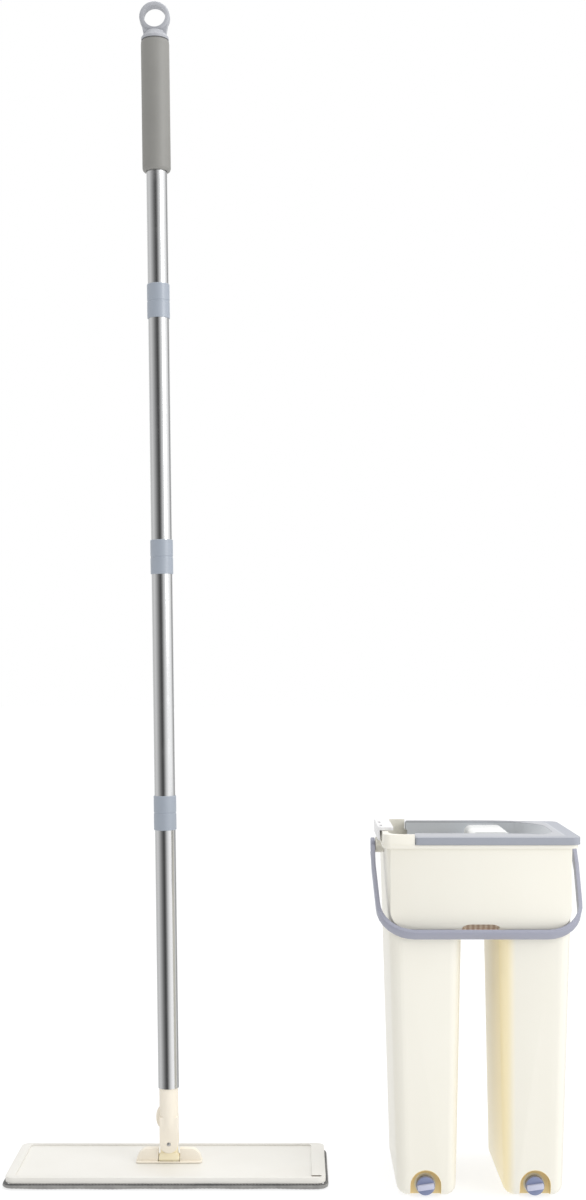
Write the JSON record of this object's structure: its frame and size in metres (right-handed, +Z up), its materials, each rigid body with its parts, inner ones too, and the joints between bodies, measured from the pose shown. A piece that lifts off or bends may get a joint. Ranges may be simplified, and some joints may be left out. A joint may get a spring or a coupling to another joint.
{
  "type": "flat mop and wringer bucket",
  "caption": "Flat mop with a jointed head and a screwed steel pole, beside a tall bucket with a wash side, a squeeze lid, a bail handle and drain plugs.",
  "frame": {"origin": "on the floor, in the middle of the box round the mop and the bucket", "axes": "+Z up, +X to the right as seen from the front, so the mop is at -X and the bucket at +X; the front faces -Y"},
  "size_m": [0.5899, 0.1669, 1.2259],
  "materials": {
    "bucket_body": "satin moulded",
    "pole_clip": "satin moulded",
    "drain_seal_left": "matt rubber",
    "drain_seal_right": "matt rubber",
    "lid_frame": "satin moulded",
    "wringer_block": "gloss moulded",
    "bail_handle": "satin moulded",
    "drain_plug_left": "satin moulded",
    "drain_plug_right": "satin moulded",
    "head_plate": "satin moulded",
    "hinge_saddle": "satin moulded",
    "saddle_screw_1": "plated screw",
    "saddle_screw_2": "plated screw",
    "saddle_screw_3": "plated screw",
    "saddle_screw_4": "plated screw",
    "yoke_pin": "plain pin",
    "mop_pad": "microfibre pile",
    "yoke_block": "satin moulded",
    "neck_socket": "satin moulded",
    "neck_pin": "plain rivet",
    "pole_tube_1": "polished stainless tube",
    "pole_tube_2": "polished stainless tube",
    "pole_tube_3": "polished stainless tube",
    "pole_tube_4": "polished stainless tube",
    "pole_collar_1": "satin moulded",
    "pole_collar_2": "satin moulded",
    "pole_collar_3": "satin moulded",
    "coupler_stud_1": "moulded, unpainted",
    "coupler_stud_2": "moulded, unpainted",
    "coupler_stud_3": "moulded, unpainted",
    "grip_sleeve": "soft-touch sleeve",
    "hang_ring_cap": "satin moulded"
  },
  "bodies": {
    "bucket": {"bucket_body": "bucket_body", "pole_clip": "pole_clip", "drain_seal_left": "drain_seal_left", "drain_seal_right": "drain_seal_right"},
    "lid": {"lid_frame": "lid_frame"},
    "wringer": {"wringer_block": "wringer_block"},
    "bail": {"bail_handle": "bail_handle"},
    "drain_plug_left": {"drain_plug_left": "drain_plug_left"},
    "drain_plug_right": {"drain_plug_right": "drain_plug_right"},
    "mop_head": {"head_plate": "head_plate", "hinge_saddle": "hinge_saddle", "saddle_screw_1": "saddle_screw_1", "saddle_screw_2": "saddle_screw_2", "saddle_screw_3": "saddle_screw_3", "saddle_screw_4": "saddle_screw_4", "yoke_pin": "yoke_pin", "mop_pad": "mop_pad"},
    "yoke": {"yoke_block": "yoke_block"},
    "pole": {"neck_socket": "neck_socket", "neck_pin": "neck_pin", "pole_tube_1": "pole_tube_1", "pole_tube_2": "pole_tube_2", "pole_tube_3": "pole_tube_3", "pole_tube_4": "pole_tube_4", "pole_collar_1": "pole_collar_1", "pole_collar_2": "pole_collar_2", "pole_collar_3": "pole_collar_3", "coupler_stud_1": "coupler_stud_1", "coupler_stud_2": "coupler_stud_2", "coupler_stud_3": "coupler_stud_3", "grip_sleeve": "grip_sleeve", "hang_ring_cap": "hang_ring_cap"}
  },
  "joints": [
    {"name": "lid_lift", "type": "slide", "parent": "bucket", "child": "lid", "axis": [0, 0, 1], "range_m": [0, 0.12]},
    {"name": "wringer_press", "type": "slide", "parent": "lid", "child": "wringer", "axis": [-1, 0, 0], "range_m": [0, 0.006], "stiffness_N_per_m": 1500},
    {"name": "bail_swing", "type": "hinge", "parent": "bucket", "child": "bail", "pos_m": [0.188, 0.0031, 0.3435], "axis": [-1, 0, 0], "range_deg": [0, 269]},
    {"name": "drain_plug_left_turn", "type": "hinge", "parent": "bucket", "child": "drain_plug_left", "pos_m": [0.1333, -0.0579, 0.0099], "axis": [0, 1, 0], "range_deg": [0, 90]},
    {"name": "drain_plug_right_turn", "type": "hinge", "parent": "bucket", "child": "drain_plug_right", "pos_m": [0.2427, -0.0579, 0.0099], "axis": [0, 1, 0], "range_deg": [0, 90]},
    {"name": "head_lift", "type": "slide", "parent": "bucket", "child": "mop_head", "axis": [0, 0, 1], "range_m": [0, 0.45]},
    {"name": "head_pitch", "type": "hinge", "parent": "mop_head", "child": "yoke", "pos_m": [-0.1291, 0.0131, 0.0136], "axis": [1, 0, 0], "range_deg": [-50, 40]},
    {"name": "pole_fold", "type": "hinge", "parent": "yoke", "child": "pole", "pos_m": [-0.1291, 0.0131, 0.0302], "axis": [0, -1, 0], "range_deg": [-20, 64]}
  ]
}
